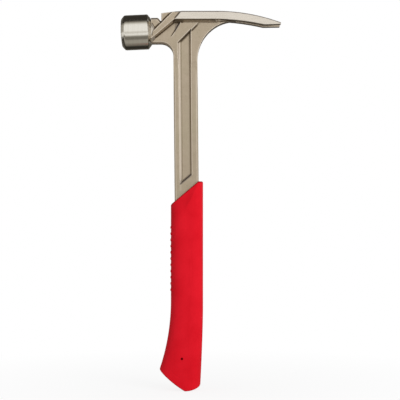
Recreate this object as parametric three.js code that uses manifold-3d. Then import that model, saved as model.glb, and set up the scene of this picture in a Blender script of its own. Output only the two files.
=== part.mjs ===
// Framing hammer: one steel forging with a turned, milled poll, a rip claw and a fullered shank,
// a nail-starter magnet, and a two-layer moulded grip.
// Millimetres. +Z runs up the handle, -X towards the striking face, +X towards the claw, Y across the sides.
// While the pieces are made, x = 0 is the grip's centre line and z = 0 the lowest point of the butt.

import * as THREE from 'three';
import { ConvexGeometry } from 'three/addons/geometries/ConvexGeometry.js';
import { mergeVertices } from 'three/addons/utils/BufferGeometryUtils.js';
import Module from 'manifold-3d';

const wasm = await Module();
wasm.setup();

// Whole hammer
const LENGTH = 406.4; // butt to top of head, 16 in
const CLEARANCE = 0.3; // between a piece and the piece moulded or set round it
const EDGE_CHAMFER = 1.5; // along the forging's outer edges

// Poll, turned about its own axis
const POLL_DIAMETER = 37.5;
const POLL_BARREL = 24.9; // straight part of the turned poll
const POLL_REACH = 54.3; // grip's centre line to the middle of the barrel
const POLL_DROP = 21.5; // top of head to the axis, at the middle of the barrel
const POLL_TILT = THREE.MathUtils.degToRad(2.6); // face looks slightly down
const RIM_LENGTH = 3.4; // bevel round the face, along the axis
const RIM_HEIGHT = 4.2; // bevel round the face, towards the axis
const FACE_CROWN = 1.1;
const TOOTH_PITCH = 2.9; // milled waffle on the face
const TOOTH_DEPTH = 1.5;
const TOOTH_ANGLE = THREE.MathUtils.degToRad(70); // of the milling cutter's V
const CONE_LENGTH = 3.5; // turned cone behind the barrel

// Neck and nail starter
const NECK_DIAMETER = 28.6; // small end of the cone
const NECK_HEIGHT = 27;
const NECK_THICKNESS = 22;
const NECK_CHAMFER = 2;
const GUSSET_LENGTH = 4.2; // a flatter cone runs into the neck over this length
const STOP_REACH = 27.4; // grip's centre line to the wall that the nail's head meets
const NOTCH_FLOOR = 0.6; // width of the notch's flat bottom
const NOTCH_SLOPE = 3; // width of the notch's sloping side
const NOTCH_DEPTH = 3.4;
const GROOVE_WIDTH = 5.2; // nail groove along the poll and neck
const GROOVE_DEPTH = 0.9; // below the neck's top
const MAGNET_DIAMETER = 6;
const MAGNET_LENGTH = 4.5;

// Head: raised strut from neck to claw, relief below it, all measured from the top of the head
const SHOULDER_DROP = 2.2; // top edge at the stop wall
const SHOULDER_LENGTH = 30; // over which the top edge rises to the flat crown
const STRUT_THICKNESS = 26;
const STRUT_DRAFT = 2.8; // run of its sloping walls
const STRUT_UPPER = [[-40, 25.6], [-19.6, 5.3]]; // upper edge of its face, [x, drop]
const STRUT_LOWER = [[-40, 31], [-15.1, 10.1]]; // lower edge of its face, [x, drop]
const SHOULDER_THICKNESS = 22.6; // block behind the stop wall
const WEB_THICKNESS = 16.4; // head below the strut and claw
const WEB_TAPER = 50; // height over which the web thins to the shank
const BACK_THICKNESS = 14; // web on the claw side of the diagonal step
const STEP_LINE = [[-8, 32.2], [13.9, 9.8]]; // diagonal step, [x, drop]
const STEP_DRAFT = 0.9;
const POCKET_LINE = [[-17.4, 28.6], [-6.1, 11]]; // right-hand wall of the pocket, [x, drop]
const POCKET_DEPTH = 3; // at its top corner, running out to nothing below
const POCKET_DRAFT = 1;
const FRONT_FILLET = 13.5; // neck to shank
const CLAW_FILLET = 41.5; // shank to claw

// Claw
const CLAW_REACH = 100.4; // grip's centre line to the tip
const CLAW_HEIGHT = 8.6; // of the ground side band, at its root
const CLAW_BEND_START = 30; // x where the claw starts to curve down
const CLAW_TOP_RADIUS = 202;
const CLAW_UNDER_START = 26; // x where its underside starts to curve down
const CLAW_UNDER_RADIUS = 258;
const CLAW_BEVEL = 18; // length of the ground bevel under the tip
const TIP_THICKNESS = 1.8;
const CLAW_ROOT_WIDTH = 27.2;
const CLAW_TIP_WIDTH = 32;
const BAND_START = -13; // lower corner of the band's slanted end
const BAND_SLANT = 7; // how far the end leans towards the claw
const BAND_CHAMFER = 0.6;
const SLOT_DEPTH = 50; // nail slot, from the tip
const SLOT_TIP_WIDTH = 11;
const SLOT_ROOT_WIDTH = 2.6;
const SLOT_BEVEL = 1.6; // the slot is this much wider on top, each side

// Shank with a fuller on each side, and the tang inside the grip
const SHANK_WIDTH = 26;
const SHANK_THICKNESS = 13;
const SHANK_LEAN = 1.6; // upper end of the shank, towards the face
const FULLER_WIDTH = 13.1; // at its mouth
const FULLER_OFFSET = -0.9; // towards the face
const FULLER_DEPTH = 2.2;
const FULLER_DRAFT = 1.1;
const FULLER_FOOT = 13; // clear steel between the fuller's lower end and the grip's top edge
const SHOULDER_HEIGHT = 186; // where the shank steps in to the tang
const TANG_STEP = 3; // each edge
const TANG_SIDE_STEP = 2.2; // each side
const TANG_END = 24; // height of the tang's lower end
const TANG_HOLES = 3;
const TANG_HOLE_DIAMETER = 8;

// Grip
const EDGE_WALL = 4; // soft wall over the shank's edges
const SIDE_WALL = 7; // soft wall over the shank's sides
const GRIP_TOP = 214.1; // top edge on the centre line
const GRIP_BACK_TOP = 224.5; // top edge at the back
const GRIP_TOP_SLOPE = Math.tan(THREE.MathUtils.degToRad(39.9));
const GRIP_TOP_BEVEL = 1;
const SECTION_POWER = 2.7; // of the grip's superellipse section
const FLARE_START = 96.5; // height where the front edge starts to flare
const FLARE_RADIUS = 231;
const BACK_TAPER = 3.2; // back edge draws in towards the butt
const BACK_TAPER_START = 88;
const BUTT_LOW_POINT = -2.2; // x where the butt's slope ends
const BUTT_SLOPE = Math.tan(THREE.MathUtils.degToRad(31)); // next to that point
const BUTT_BOW = 67; // the slope steepens towards the front, on a parabola of this radius
const BUTT_RADIUS = 31; // heel of the butt, rising to the back
const BUTT_ROUND = 2;
const RIB_COUNT = 11; // finger ribs on the front edge
const RIB_PITCH = 6.7;
const RIB_HEIGHT = 0.6;
const RIB_LENGTH = 3.2;
const RIB_LOWEST = 108;
const RIB_WRAP = 4; // how far the ribs reach back from the front edge
const PIN_HOLE = { x: -5.3, z: 34.9, diameter: 2.6 }; // left by the mould's locating pins
const CORE_BASE = 6; // core below the tang's end
const BAND_COUNT = 3; // raised bands on the core that lock the sleeve
const BAND_HEIGHT = 8;
const BAND_PROUD = 1.2;

const CURVE_STEPS = 20; // per arc of a profile
const ROUND_STEPS = 72; // round the poll
const SECTION_POINTS = 44; // round the grip

// Solids

function solid(geometry) {
  geometry.deleteAttribute('normal');
  geometry.deleteAttribute('uv');
  const merged = mergeVertices(geometry);
  return new wasm.Manifold(new wasm.Mesh({
    numProp: 3,
    vertProperties: Float32Array.from(merged.attributes.position.array),
    triVerts: Uint32Array.from(merged.index.array),
  }));
}

function geometryOf(manifold) {
  const mesh = manifold.getMesh();
  const geometry = new THREE.BufferGeometry();
  geometry.setAttribute('position', new THREE.BufferAttribute(Float32Array.from(mesh.vertProperties), 3));
  geometry.setIndex(new THREE.BufferAttribute(Uint32Array.from(mesh.triVerts), 1));
  geometry.computeVertexNormals();
  return geometry;
}

function shapeOf(points) {
  return new THREE.Shape(points.map(([x, z]) => new THREE.Vector2(x, z)));
}

// A side profile, drawn in x and z, as a plate centred on y = 0. Its edges slope inwards by across over
// the last part, deep, of its thickness. The profile is the plate's widest outline.
function plate(shape, thickness, across = 0, deep = across) {
  return drafted(shape, thickness, across, deep, -across);
}

// The same, but where spread is 0 the profile is the outline of the two faces, and the edges slope out from it.
function drafted(shape, thickness, across, deep, spread = 0) {
  const depth = thickness - 2 * deep;
  const geometry = new THREE.ExtrudeGeometry(shape, {
    depth,
    curveSegments: CURVE_STEPS,
    bevelEnabled: across > 0,
    bevelSegments: 1,
    bevelThickness: deep,
    bevelSize: across,
    bevelOffset: spread,
  });
  geometry.translate(0, 0, -depth / 2);
  return solid(geometry.rotateX(Math.PI / 2));
}

function hull(points) {
  return solid(new ConvexGeometry(points.map((p) => new THREE.Vector3(...p))));
}

// Both sides of the hammer are alike, so a cut or a boss made on one is mirrored to the other.
function bothSides(points) {
  const mirrored = points.map(([x, y, z]) => [x, -y, z]);
  return hull(points).add(hull(mirrored));
}

function cylinder(diameter, height, steps = 32) {
  return new THREE.CylinderGeometry(diameter / 2, diameter / 2, height, steps);
}

// Shank centre line, edges and the levels that several pieces share

const shoulderSide = SHANK_WIDTH / 2;
const neckMiddle = LENGTH - POLL_DROP + (POLL_REACH - STOP_REACH - GUSSET_LENGTH) * Math.tan(POLL_TILT);
const neckTop = neckMiddle + NECK_HEIGHT / 2;
const neckBottom = neckMiddle - NECK_HEIGHT / 2;
const shankTop = neckBottom - FRONT_FILLET;

function shankCentre(z) {
  return -SHANK_LEAN * (z - SHOULDER_HEIGHT) / (shankTop - SHOULDER_HEIGHT);
}

function fromTop([x, drop]) {
  return [x, LENGTH - drop];
}

function clawTop(x) {
  const along = Math.max(0, x - CLAW_BEND_START);
  return LENGTH - CLAW_TOP_RADIUS + Math.sqrt(CLAW_TOP_RADIUS ** 2 - along ** 2);
}

function clawUnder(x) {
  const along = Math.max(0, x - CLAW_UNDER_START);
  return LENGTH - CLAW_HEIGHT - CLAW_UNDER_RADIUS + Math.sqrt(CLAW_UNDER_RADIUS ** 2 - along ** 2);
}

// Poll: its own frame has +Y along the axis to the face and the origin at the middle of the barrel

const pollRadius = POLL_DIAMETER / 2;
const faceRadius = pollRadius - RIM_HEIGHT;
const faceRim = POLL_BARREL / 2 + RIM_LENGTH;
const faceApex = faceRim + FACE_CROWN;
const coneEnd = -POLL_BARREL / 2 - CONE_LENGTH;

function placedOnPoll(geometry) {
  geometry.rotateZ(Math.PI / 2);
  geometry.rotateY(-POLL_TILT);
  return geometry.translate(-POLL_REACH, 0, LENGTH - POLL_DROP);
}

function turnedPoll() {
  const crownRadius = (faceRadius ** 2 + FACE_CROWN ** 2) / (2 * FACE_CROWN);
  const profile = [
    [0, coneEnd - GUSSET_LENGTH],
    [NECK_THICKNESS / 2 - CLEARANCE, coneEnd - GUSSET_LENGTH],
    [NECK_DIAMETER / 2, coneEnd],
    [pollRadius, -POLL_BARREL / 2],
    [pollRadius, POLL_BARREL / 2],
  ];
  const crownSteps = 5;
  for (let i = 0; i <= crownSteps; i += 1) {
    const r = faceRadius * (1 - i / crownSteps);
    profile.push([r, faceApex - crownRadius + Math.sqrt(crownRadius ** 2 - r ** 2)]);
  }
  const turned = new THREE.LatheGeometry(profile.map(([r, y]) => new THREE.Vector2(r, y)), ROUND_STEPS);
  return solid(placedOnPoll(turned)).subtract(millingCuts());
}

// The waffle: V cuts in two directions, set so that teeth and not a cut lie on the axis
function millingCuts() {
  const above = 1;
  const half = (TOOTH_DEPTH + above) * Math.tan(TOOTH_ANGLE / 2);
  const vee = shapeOf([
    [0, faceApex - TOOTH_DEPTH],
    [half, faceApex + above],
    [-half, faceApex + above],
  ]);
  const rows = Math.ceil(faceRadius / TOOTH_PITCH);
  const cuts = [];
  for (let row = -rows; row < rows; row += 1) {
    for (const turn of [0, Math.PI / 2]) {
      const cut = new THREE.ExtrudeGeometry(vee, { depth: POLL_DIAMETER, bevelEnabled: false });
      cut.translate((row + 0.5) * TOOTH_PITCH, 0, -POLL_DIAMETER / 2);
      cuts.push(solid(placedOnPoll(cut.rotateY(turn))));
    }
  }
  return wasm.Manifold.union(cuts);
}

// Neck and the block behind the nail notch

const neckEnd = -POLL_REACH - coneEnd;
const stop = -STOP_REACH;

function neckBlock() {
  const notchBottom = neckTop - NOTCH_DEPTH;
  const foot = neckMiddle - NECK_HEIGHT / 4;
  const neck = shapeOf([
    [neckEnd - GUSSET_LENGTH, foot],
    [neckEnd + GUSSET_LENGTH / 2, foot],
    [stop, neckMiddle],
    [stop, notchBottom],
    [stop - NOTCH_FLOOR, notchBottom],
    [stop - NOTCH_FLOOR - NOTCH_SLOPE, neckTop],
    [neckEnd - GUSSET_LENGTH, neckTop],
  ]);
  return plate(neck, NECK_THICKNESS, NECK_CHAMFER);
}

function shoulderBlock() {
  const shape = shapeOf([
    [stop, neckMiddle],
    [BAND_START, LENGTH - CLAW_HEIGHT],
    [BAND_START + BAND_SLANT, LENGTH + 1],
    [stop, LENGTH + 1],
  ]);
  return plate(shape, SHOULDER_THICKNESS, BAND_CHAMFER).intersect(underTopEdge());
}

// Everything under the head's top edge
function underTopEdge() {
  const shape = new THREE.Shape();
  shape.moveTo(stop, neckBottom);
  shape.lineTo(neckEnd - GUSSET_LENGTH, neckBottom);
  shape.lineTo(neckEnd - GUSSET_LENGTH, neckTop - NOTCH_DEPTH);
  shape.lineTo(stop, neckTop - NOTCH_DEPTH);
  shape.lineTo(stop, LENGTH - SHOULDER_DROP);
  shape.quadraticCurveTo(stop + SHOULDER_LENGTH / 2, LENGTH, stop + SHOULDER_LENGTH, LENGTH);
  shape.lineTo(CLAW_REACH, LENGTH);
  shape.lineTo(CLAW_REACH, neckBottom);
  return plate(shape, CLAW_TIP_WIDTH);
}

// Raised strut from the neck up into the claw, and the root of the claw's side band that it runs into

function strut() {
  const [upperStart, upperEnd] = STRUT_UPPER.map(fromTop);
  const [lowerStart, lowerEnd] = STRUT_LOWER.map(fromTop);
  const above = LENGTH + STRUT_DRAFT + 1;
  const reaching = (start, end) => {
    const slope = (end[1] - start[1]) / (end[0] - start[0]);
    return [start[0] + (above - start[1]) / slope, above];
  };
  const diagonal = shapeOf([
    lowerStart, reaching(lowerStart, lowerEnd), reaching(upperStart, upperEnd), upperStart,
  ]);
  const underBand = shapeOf([
    [BAND_START, LENGTH - CLAW_HEIGHT],
    [CLAW_BEND_START, LENGTH - CLAW_HEIGHT],
    [CLAW_BEND_START, above],
    [BAND_START, above],
  ]);
  const deep = (STRUT_THICKNESS - WEB_THICKNESS) / 2;
  const raised = [diagonal, underBand].map((shape) => drafted(shape, STRUT_THICKNESS, STRUT_DRAFT, deep));
  return raised[0].add(raised[1]).intersect(underTopEdge());
}

// Claw: side profile of the ground band, cut to its plan

function claw() {
  const bevelStart = CLAW_REACH - CLAW_BEVEL;
  const points = [
    [BAND_START, LENGTH - CLAW_HEIGHT],
    [CLAW_BEND_START, LENGTH - CLAW_HEIGHT],
  ];
  for (let i = 1; i <= CURVE_STEPS; i += 1) {
    const x = THREE.MathUtils.lerp(CLAW_BEND_START, bevelStart, i / CURVE_STEPS);
    points.push([x, clawUnder(x)]);
  }
  points.push([CLAW_REACH, clawTop(CLAW_REACH) - TIP_THICKNESS]);
  for (let i = 0; i <= CURVE_STEPS; i += 1) {
    const x = THREE.MathUtils.lerp(CLAW_REACH, CLAW_BEND_START, i / CURVE_STEPS);
    points.push([x, clawTop(x)]);
  }
  points.push([BAND_START + BAND_SLANT, LENGTH]);
  const side = plate(shapeOf(points), CLAW_TIP_WIDTH);
  return side.intersect(clawPlan()).subtract(nailSlot());
}

// Plan of the claw with its top and bottom edges broken, built as one loft from the root to the tip
function clawPlan() {
  const below = clawUnder(CLAW_REACH) - CLAW_HEIGHT;
  const plan = shapeOf([
    [BAND_START - 1, -CLAW_ROOT_WIDTH / 2],
    [CLAW_BEND_START, -CLAW_ROOT_WIDTH / 2],
    [CLAW_REACH + 1, -CLAW_TIP_WIDTH / 2],
    [CLAW_REACH + 1, CLAW_TIP_WIDTH / 2],
    [CLAW_BEND_START, CLAW_ROOT_WIDTH / 2],
    [BAND_START - 1, CLAW_ROOT_WIDTH / 2],
  ]);
  const depth = LENGTH - below;
  const geometry = new THREE.ExtrudeGeometry(plan, {
    depth: depth - BAND_CHAMFER,
    bevelEnabled: true,
    bevelSegments: 1,
    bevelThickness: BAND_CHAMFER,
    bevelSize: BAND_CHAMFER,
    bevelOffset: -BAND_CHAMFER,
  });
  return solid(geometry.translate(0, 0, below));
}

function nailSlot() {
  const slotEnd = CLAW_REACH - SLOT_DEPTH;
  const low = clawUnder(CLAW_REACH) - CLAW_HEIGHT;
  const high = LENGTH + 1;
  const points = [];
  for (const [z, extra] of [[low, 0], [high, SLOT_BEVEL]]) {
    for (const side of [-1, 1]) {
      points.push([CLAW_REACH + 1, side * (SLOT_TIP_WIDTH / 2 + extra), z]);
      points.push([slotEnd, side * (SLOT_ROOT_WIDTH / 2 + extra), z]);
    }
  }
  const end = cylinder(SLOT_ROOT_WIDTH, high - low, 16);
  end.rotateX(Math.PI / 2);
  end.translate(slotEnd, 0, (low + high) / 2);
  return hull(points).add(solid(end));
}

// Web of the head and shank: one side outline, thick in the head and thinner in the shank

function bodyOutline() {
  const filletStart = shankCentre(shankTop) - shoulderSide;
  const clawSide = shankCentre(shankTop) + shoulderSide;
  const filletMiddle = clawSide + CLAW_FILLET;
  const clawFilletBase = clawUnder(filletMiddle) + CLEARANCE - CLAW_FILLET;
  const shape = new THREE.Shape();
  shape.moveTo(-shoulderSide, SHOULDER_HEIGHT);
  shape.lineTo(shoulderSide, SHOULDER_HEIGHT);
  shape.lineTo(clawSide, clawFilletBase);
  shape.absarc(filletMiddle, clawFilletBase, CLAW_FILLET, Math.PI, Math.PI / 2, true);
  shape.lineTo(filletMiddle, clawUnder(filletMiddle) + CLAW_HEIGHT / 2);
  shape.lineTo(BAND_START + BAND_SLANT, LENGTH - CLAW_HEIGHT / 2);
  shape.lineTo(stop, neckTop - NOTCH_DEPTH);
  shape.lineTo(neckEnd - GUSSET_LENGTH, neckMiddle);
  shape.lineTo(neckEnd - GUSSET_LENGTH, neckBottom);
  shape.absarc(filletStart - FRONT_FILLET, shankTop, FRONT_FILLET, Math.PI / 2, 0, true);
  return shape;
}

function webEnvelope() {
  const web = WEB_THICKNESS / 2;
  const thin = SHANK_THICKNESS / 2 - EDGE_CHAMFER;
  const shape = shapeOf([
    [-web, LENGTH], [-web, neckBottom], [-thin, neckBottom - WEB_TAPER],
    [thin, neckBottom - WEB_TAPER], [web, neckBottom], [web, LENGTH],
  ]);
  const reach = CLAW_REACH + POLL_REACH;
  const geometry = new THREE.ExtrudeGeometry(shape, { depth: reach, bevelEnabled: false });
  const acrossToY = new THREE.Matrix4().makeBasis(
    new THREE.Vector3(0, 1, 0), new THREE.Vector3(0, 0, 1), new THREE.Vector3(1, 0, 0));
  return solid(geometry.applyMatrix4(acrossToY).translate(-POLL_REACH, 0, 0));
}

function body() {
  const outline = bodyOutline();
  const thick = plate(outline, WEB_THICKNESS, EDGE_CHAMFER).intersect(webEnvelope());
  return plate(outline, SHANK_THICKNESS, EDGE_CHAMFER).add(thick);
}

// The web on the claw side of the diagonal step is set back a little
function stepCut() {
  const [low, high] = STEP_LINE.map(fromTop);
  const web = WEB_THICKNESS / 2;
  const floor = BACK_THICKNESS / 2;
  const proud = WEB_THICKNESS;
  const right = CLAW_REACH;
  const foot = neckBottom - WEB_TAPER;
  return bothSides([floor, proud].flatMap((y) => {
    const run = STEP_DRAFT * (web - y) / (web - floor);
    return [[low[0] + run, y, low[1] - run], [high[0] + run, y, high[1] - run],
      [right, y, high[1] - run], [right, y, foot], [low[0] + run, y, foot]];
  }));
}

// Triangular pocket under the strut: its floor slopes in from its lower edge to its top corner
function pocketCut() {
  const [wallLow, wallHigh] = POCKET_LINE.map(fromTop);
  const web = WEB_THICKNESS / 2;
  const proud = WEB_THICKNESS;
  const top = LENGTH - CLAW_HEIGHT / 2;
  const floor = (z) => web - POCKET_DEPTH * (z - wallLow[1]) / (wallHigh[1] - wallLow[1]);
  const right = wallHigh[0] - POCKET_DRAFT;
  return bothSides([
    [neckEnd, web, wallLow[1]], [neckEnd, proud, wallLow[1]],
    [wallLow[0], web, wallLow[1]], [wallLow[0] + POCKET_DRAFT, proud, wallLow[1]],
    [right, floor(wallHigh[1]), wallHigh[1]], [wallHigh[0] + POCKET_DRAFT, proud, wallHigh[1]],
    [right, floor(top), top], [wallHigh[0] + POCKET_DRAFT, proud, top],
    [neckEnd, floor(top), top], [neckEnd, proud, top],
  ]);
}

// Fuller: a long drafted recess that follows the shank, slanted at both ends
function fullerCut() {
  const [stepLow, stepHigh] = STEP_LINE.map(fromTop);
  const slope = (stepHigh[1] - stepLow[1]) / (stepHigh[0] - stepLow[0]);
  const middle = (z) => shankCentre(z) + FULLER_OFFSET;
  const half = FULLER_WIDTH / 2;
  const foot = GRIP_TOP + FULLER_FOOT;
  const corners = (inset) => {
    const left = middle(stepLow[1]) - half + inset;
    const right = middle(stepLow[1]) + half - inset;
    const footLeft = middle(foot) - half + inset;
    const footRight = middle(foot) + half - inset;
    const top = (x) => stepLow[1] + slope * (x - stepLow[0]) - inset * Math.hypot(1, slope);
    const bottom = (x) => foot + GRIP_TOP_SLOPE * x + inset * Math.hypot(1, GRIP_TOP_SLOPE);
    return [[left, top(left)], [right, top(right)], [footRight, bottom(footRight)], [footLeft, bottom(footLeft)]];
  };
  const surface = SHANK_THICKNESS / 2;
  const floor = surface - FULLER_DEPTH;
  const flare = (WEB_THICKNESS / 2 - floor) * FULLER_DRAFT / FULLER_DEPTH;
  return bothSides([
    ...corners(FULLER_DRAFT).map(([x, z]) => [x, floor, z]),
    ...corners(FULLER_DRAFT - flare).map(([x, z]) => [x, WEB_THICKNESS / 2, z]),
  ]);
}

// Nail groove along the top of the poll and neck, and the hole for the magnet under it

const magnetX = (neckEnd + stop - NOTCH_FLOOR - NOTCH_SLOPE) / 2;
const grooveBottom = neckTop - GROOVE_DEPTH;

function nailGroove() {
  const r = GROOVE_WIDTH / 2;
  const shape = new THREE.Shape();
  shape.moveTo(r, POLL_DIAMETER);
  shape.lineTo(r, r);
  shape.absarc(0, r, r, 0, -Math.PI, true);
  shape.lineTo(-r, POLL_DIAMETER);
  const length = POLL_REACH + faceApex - STOP_REACH;
  const geometry = new THREE.ExtrudeGeometry(shape, { depth: length, curveSegments: 8, bevelEnabled: false });
  geometry.rotateX(Math.PI / 2);
  geometry.rotateZ(-Math.PI / 2);
  geometry.rotateY(-POLL_TILT);
  return solid(geometry.translate(stop - NOTCH_FLOOR, 0, grooveBottom));
}

function magnetHole() {
  const deep = MAGNET_LENGTH + 2 * CLEARANCE;
  const hole = cylinder(MAGNET_DIAMETER + 2 * CLEARANCE, deep + GROOVE_WIDTH);
  hole.rotateX(Math.PI / 2);
  return solid(hole.translate(magnetX, 0, grooveBottom - deep + (deep + GROOVE_WIDTH) / 2));
}

// Tang inside the grip. A larger copy, with smaller holes, cuts the core's bore.
function tang(grow) {
  const half = shoulderSide - TANG_STEP + grow;
  const low = TANG_END - grow;
  const shape = shapeOf([[-half, low], [half, low], [half, SHOULDER_HEIGHT + EDGE_CHAMFER],
    [-half, SHOULDER_HEIGHT + EDGE_CHAMFER]]);
  const thickness = SHANK_THICKNESS - 2 * TANG_SIDE_STEP + 2 * grow;
  const bar = plate(shape, thickness, EDGE_CHAMFER / 2);
  const spacing = (SHOULDER_HEIGHT - TANG_END) / (TANG_HOLES + 1);
  const holes = [];
  for (let i = 1; i <= TANG_HOLES; i += 1) {
    const hole = cylinder(TANG_HOLE_DIAMETER - 2 * grow, 2 * SHANK_THICKNESS, 24);
    holes.push(solid(hole.translate(0, 0, TANG_END + i * spacing)));
  }
  return bar.subtract(wasm.Manifold.union(holes));
}

function forging() {
  return body()
    .subtract(stepCut())
    .subtract(pocketCut())
    .subtract(fullerCut())
    .add(neckBlock())
    .add(shoulderBlock())
    .add(strut())
    .add(claw())
    .add(turnedPoll())
    .subtract(nailGroove())
    .subtract(magnetHole())
    .add(tang(0));
}

// Grip core: carries on the shank's section round the tang, with raised bands that lock the sleeve

const coreTop = SHOULDER_HEIGHT - CLEARANCE;
const coreBottom = TANG_END - CORE_BASE;

function bar(half, thickness, low, high) {
  return plate(shapeOf([[-half, low], [half, low], [half, high], [-half, high]]), thickness, EDGE_CHAMFER);
}

function coreBody(grow) {
  const half = shoulderSide + grow;
  const thickness = SHANK_THICKNESS + 2 * grow;
  const spacing = (coreTop - coreBottom) / (BAND_COUNT + 1);
  let core = bar(half, thickness, coreBottom - grow, coreTop + grow);
  for (let i = 1; i <= BAND_COUNT; i += 1) {
    const z = coreBottom + i * spacing;
    const low = z - BAND_HEIGHT / 2 - grow;
    const high = z + BAND_HEIGHT / 2 + grow;
    core = core.add(bar(half + BAND_PROUD, thickness + 2 * BAND_PROUD, low, high));
  }
  return core;
}

// Grip sleeve: sections between a sloping butt and a sloping top edge, drawn with a superellipse

const gripHalf = shoulderSide + CLEARANCE + EDGE_WALL;
const gripDepth = SHANK_THICKNESS / 2 + CLEARANCE + SIDE_WALL;

function frontEdge(z) {
  const down = Math.max(0, FLARE_START - z);
  return -gripHalf - FLARE_RADIUS + Math.sqrt(FLARE_RADIUS ** 2 - down ** 2);
}

function backEdge(z) {
  const down = Math.max(0, BACK_TAPER_START - z) / BACK_TAPER_START;
  return gripHalf - BACK_TAPER * down ** 1.5;
}

function buttHeight(x) {
  const heel = x - BUTT_LOW_POINT;
  if (heel < 0) {
    return -heel * BUTT_SLOPE + heel ** 2 / (2 * BUTT_BOW);
  }
  return BUTT_RADIUS - Math.sqrt(Math.max(0, BUTT_RADIUS ** 2 - heel ** 2));
}

function topHeight(x) {
  return Math.min(GRIP_TOP + GRIP_TOP_SLOPE * x, GRIP_BACK_TOP);
}

// Height of an edge of the grip at a share of the way from the butt, 0, to the top edge, 1.
// The butt and top slope, so the height is found by repeated halving.
function edgeHeight(edge, share) {
  let low = 0;
  let high = GRIP_BACK_TOP;
  for (let i = 0; i < 40; i += 1) {
    const z = (low + high) / 2;
    const x = edge(z);
    if (z < THREE.MathUtils.lerp(buttHeight(x), topHeight(x), share)) {
      low = z;
    } else {
      high = z;
    }
  }
  return low;
}

// One ring of the loft
function gripRing(share, inset) {
  const front = frontEdge(edgeHeight(frontEdge, share)) + inset;
  const back = backEdge(edgeHeight(backEdge, share)) - inset;
  const middle = (front + back) / 2;
  const half = (back - front) / 2;
  const power = 2 / SECTION_POWER;
  const ring = [];
  for (let i = 0; i < SECTION_POINTS; i += 1) {
    const angle = i / SECTION_POINTS * 2 * Math.PI;
    const c = Math.cos(angle);
    const s = Math.sin(angle);
    const x = middle + half * Math.sign(c) * Math.abs(c) ** power;
    const y = (gripDepth - inset) * Math.sign(s) * Math.abs(s) ** power;
    const z = THREE.MathUtils.lerp(buttHeight(x), topHeight(x), share);
    ring.push(new THREE.Vector3(x, y, z));
  }
  return ring;
}

// A closed loft through rings that each mirror themselves across y = 0
function loft(rings) {
  const count = SECTION_POINTS;
  const index = [];
  for (let r = 0; r + 1 < rings.length; r += 1) {
    for (let i = 0; i < count; i += 1) {
      const a = r * count + i;
      const b = r * count + (i + 1) % count;
      index.push(a, b, b + count, a, b + count, a + count);
    }
  }
  const last = (rings.length - 1) * count;
  for (let i = 0; i < count / 2; i += 1) {
    const near = [i, i + 1];
    const far = [(count - i) % count, count - i - 1];
    index.push(near[0], far[1], near[1], near[0], far[0], far[1]);
    index.push(last + near[0], last + near[1], last + far[1], last + near[0], last + far[1], last + far[0]);
  }
  const position = rings.flat().flatMap((p) => [p.x, p.y, p.z]);
  const geometry = new THREE.BufferGeometry();
  geometry.setAttribute('position', new THREE.Float32BufferAttribute(position, 3));
  geometry.setIndex(index.filter((_, k) => {
    const t = k - k % 3;
    const [a, b, c] = [index[t], index[t + 1], index[t + 2]];
    return a !== b && b !== c && a !== c;
  }));
  return solid(geometry);
}

function gripOutside() {
  const run = topHeight(0) - buttHeight(0);
  const rings = [];
  const roundSteps = 4;
  for (let i = 0; i < roundSteps; i += 1) {
    const turn = i / roundSteps * Math.PI / 2;
    rings.push(gripRing(BUTT_ROUND * (1 - Math.cos(turn)) / run, BUTT_ROUND * (1 - Math.sin(turn))));
  }
  const steps = 22;
  const start = BUTT_ROUND / run;
  const end = 1 - GRIP_TOP_BEVEL / run;
  for (let i = 0; i <= steps; i += 1) {
    rings.push(gripRing(THREE.MathUtils.lerp(start, end, i / steps), 0));
  }
  rings.push(gripRing(1, GRIP_TOP_BEVEL));
  return loft(rings);
}

// A finger rib: a short proud band round the front edge only
function rib(z) {
  const butt = buttHeight(-gripHalf);
  const run = topHeight(-gripHalf) - butt;
  const share = (z - butt) / run;
  const half = RIB_LENGTH / 2 / run;
  const band = loft([
    gripRing(share - half, RIB_HEIGHT),
    gripRing(share - half / 2, -RIB_HEIGHT),
    gripRing(share + half / 2, -RIB_HEIGHT),
    gripRing(share + half, RIB_HEIGHT),
  ]);
  const front = new THREE.BoxGeometry(RIB_WRAP, 4 * gripDepth, 4 * RIB_WRAP);
  front.translate(-gripHalf - RIB_HEIGHT + RIB_WRAP / 2, 0, z);
  return band.intersect(solid(front));
}

function sleeve() {
  const ribs = [];
  for (let i = 0; i < RIB_COUNT; i += 1) {
    ribs.push(rib(RIB_LOWEST + i * RIB_PITCH));
  }
  const half = shoulderSide + CLEARANCE;
  const lean = shankCentre(LENGTH / 2 + GRIP_TOP / 2);
  const shankTopInGrip = (LENGTH + GRIP_TOP) / 2;
  const bore = plate(shapeOf([
    [-half, coreTop], [half, coreTop], [half + lean, shankTopInGrip], [-half + lean, shankTopInGrip],
  ]), SHANK_THICKNESS + 2 * CLEARANCE, EDGE_CHAMFER);
  const pin = cylinder(PIN_HOLE.diameter, 4 * gripDepth, 24);
  pin.translate(PIN_HOLE.x, 0, PIN_HOLE.z);
  return gripOutside()
    .add(wasm.Manifold.union(ribs))
    .subtract(bore)
    .subtract(coreBody(CLEARANCE))
    .subtract(solid(pin));
}

// Scene graph

function piece(name, geometry, color, roughness, metalness) {
  const mesh = new THREE.Mesh(geometry, new THREE.MeshStandardMaterial({ color, roughness, metalness }));
  mesh.name = name;
  return mesh;
}

function magnet() {
  const mesh = piece('nail_magnet', cylinder(MAGNET_DIAMETER, MAGNET_LENGTH), 0x8f9092, 0.3, 1);
  mesh.rotation.x = Math.PI / 2;
  mesh.position.set(magnetX, 0, grooveBottom - CLEARANCE - MAGNET_LENGTH / 2);
  return mesh;
}

const hammer = new THREE.Group();
hammer.add(piece('steel_forging', geometryOf(forging()), 0xb0a08c, 0.45, 1));
hammer.add(magnet());

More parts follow.
